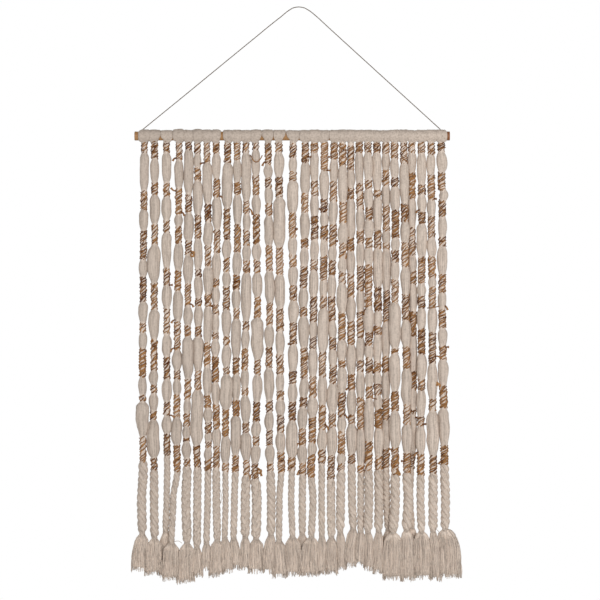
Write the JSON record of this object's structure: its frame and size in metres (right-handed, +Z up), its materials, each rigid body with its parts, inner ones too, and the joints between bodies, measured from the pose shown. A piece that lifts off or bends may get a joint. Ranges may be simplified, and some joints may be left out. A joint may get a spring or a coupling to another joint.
{
  "type": "yarn wall hanging on a wooden dowel",
  "caption": "Wall hanging of cotton strands looped over a wooden dowel, bound at intervals with jute, roped and tied into tassels, on a thin cord for a wall hook.",
  "frame": {"origin": "the point of the wall hook that carries the hanging cord, on its plumb line, at the top of the cord", "axes": "+Z up, the front faces -Y, +X to the right of a viewer in front and along the dowel"},
  "size_m": [0.6514, 0.0415, 1.1549],
  "materials": {
    "cotton": "matt, undyed cotton yarn in loose bundles",
    "jute": "matt brown jute twine, from dark brown to gold",
    "dowel_wood": "satin, golden tan",
    "cord_yarn": "matt twisted twine, grey beige"
  },
  "bodies": {
    "root": {"dowel": "dowel_wood", "hanging_cord": "cord_yarn", "strand_01": "cotton", "strand_02": "cotton", "strand_03": "cotton", "strand_04": "cotton", "strand_05": "cotton", "strand_06": "cotton", "strand_07": "cotton", "strand_08": "cotton", "strand_09": "cotton", "strand_10": "cotton", "strand_11": "cotton", "strand_12": "cotton", "strand_13": "cotton", "strand_14": "cotton", "strand_15": "cotton", "strand_16": "cotton", "strand_17": "cotton", "strand_18": "cotton", "strand_19": "cotton", "strand_20": "cotton", "strand_21": "cotton", "strand_22": "cotton", "strand_23": "cotton", "strand_24": "cotton", "strand_25": "cotton", "strand_26": "cotton", "strand_27": "cotton", "strand_28": "cotton", "strand_29": "cotton", "strand_30": "cotton", "strand_31": "cotton"}
  },
  "joints": []
}
